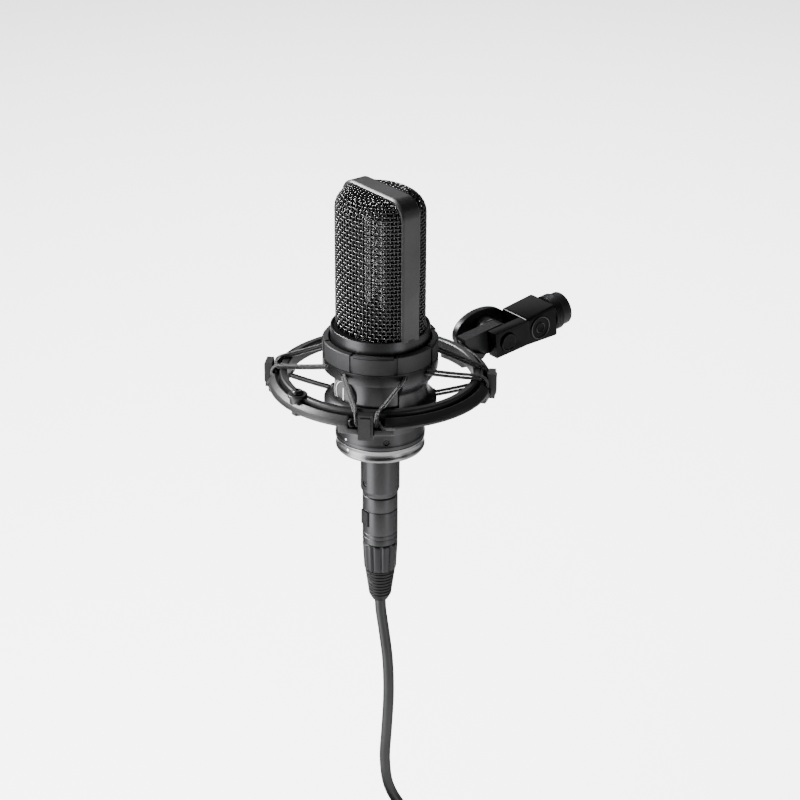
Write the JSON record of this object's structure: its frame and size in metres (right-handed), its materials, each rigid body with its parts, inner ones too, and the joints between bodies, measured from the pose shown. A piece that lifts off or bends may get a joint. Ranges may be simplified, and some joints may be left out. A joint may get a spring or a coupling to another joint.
{
  "type": "ribbon microphone",
  "caption": "Side-address ribbon microphone with a woven grille head, held by elastic cords in a ring shock mount on a tilting stand adapter, with its XLR plug and coiled cable.",
  "frame": {"origin": "centre of the stand socket's mouth, where the boom's threaded end enters", "axes": "+Z along the microphone towards the top of its head, -Y towards its front (badge side), the boom comes in from +Y, +X to the right seen from the front"},
  "size_m": [0.1202, 0.1911, 0.5525],
  "materials": {
    "black_metal": "satin black paint",
    "black_mesh": "black painted woven wire",
    "dark_satin": "satin dark grey",
    "black_plastic": "moulded black, semi-gloss",
    "steel": "plain steel",
    "gold_plate": "gold plated",
    "brass": "machined brass",
    "nickel": "nickel plated",
    "foil": "bright foil",
    "board_green": "solder mask",
    "transformer_can": "screening can",
    "badge_enamel": "black enamel with a bright rim",
    "elastic": "braided sleeve",
    "black_rubber": "matt black"
  },
  "bodies": {
    "stand_adapter": {"stand_adapter": "black_plastic", "thread_insert": "brass", "socket_collar": "black_plastic", "pivot_bolt": "black_plastic", "pivot_washer": "steel"},
    "knob": {"clamp_knob": "black_plastic"},
    "cradle": {"ring_bracket": "black_plastic", "outer_ring": "black_plastic", "ring_bolt": "steel", "ring_nut": "steel", "clip_front_right": "black_plastic", "clip_rear_right": "black_plastic", "clip_rear_left": "black_plastic", "clip_front_left": "black_plastic", "elastic_upper": "elastic", "elastic_lower": "elastic"},
    "microphone": {"basket_ring": "black_metal", "basket_body": "black_metal", "basket_cup": "black_metal", "cup_screw_1": "steel", "cup_screw_2": "steel", "cup_screw_3": "steel", "head_frame": "black_metal", "front_grille": "black_mesh", "rear_grille": "black_mesh", "front_screen": "steel", "rear_screen": "steel", "motor_frame": "steel", "magnet_left": "nickel", "magnet_right": "nickel", "ribbon": "foil", "ribbon_clamp_bottom": "black_plastic", "ribbon_clamp_top": "black_plastic", "motor_deck": "steel", "mic_collar": "black_metal", "body_tube": "black_metal", "badge": "badge_enamel", "body_base": "black_metal", "xlr_neck": "black_metal", "neck_screw": "steel", "xlr_insert": "black_plastic", "xlr_pin_1": "gold_plate", "xlr_pin_2": "gold_plate", "xlr_pin_3": "gold_plate", "chassis_plate": "steel", "circuit_board": "board_green", "transformer": "transformer_can"},
    "lock_ring": {"lock_ring": "dark_satin"},
    "plug": {"plug_shell": "black_plastic", "plug_insert": "black_rubber", "plug_bushing": "black_plastic", "strain_relief": "black_rubber", "cable": "black_rubber", "cable_coil": "black_rubber", "coil_tie": "elastic", "cable_tail": "black_rubber", "end_plug": "black_plastic"},
    "latch": {"plug_latch": "steel"}
  },
  "joints": [
    {"name": "tilt", "type": "hinge", "parent": "stand_adapter", "child": "cradle", "pos_m": [0, -0.04798, -0.00462], "axis": [1, 0, 0], "range_deg": [-90, 90]},
    {"name": "knob_turn", "type": "hinge", "parent": "stand_adapter", "child": "knob", "pos_m": [0, -0.04798, -0.00462], "axis": [-1, 0, 0], "range_deg": [0, 360]},
    {"name": "suspension", "type": "slide", "parent": "cradle", "child": "microphone", "axis": [0, 0, 1], "range_m": [-0.004, 0.004], "stiffness_N_per_m": 4000, "springref_m": 0.002, "deforming": ["elastic_upper", "elastic_lower"]},
    {"name": "lock_turn", "type": "hinge", "parent": "microphone", "child": "lock_ring", "pos_m": [0, -0.13, -0.043], "axis": [0, 0, -1], "range_deg": [0, 45]},
    {"name": "unplug", "type": "slide", "parent": "microphone", "child": "plug", "axis": [0, 0, -1], "range_m": [0, 0.016]},
    {"name": "latch_press", "type": "slide", "parent": "plug", "child": "latch", "axis": [0, 1, 0], "range_m": [0, 0.0008], "stiffness_N_per_m": 1000, "springref_m": -0.0006}
  ]
}
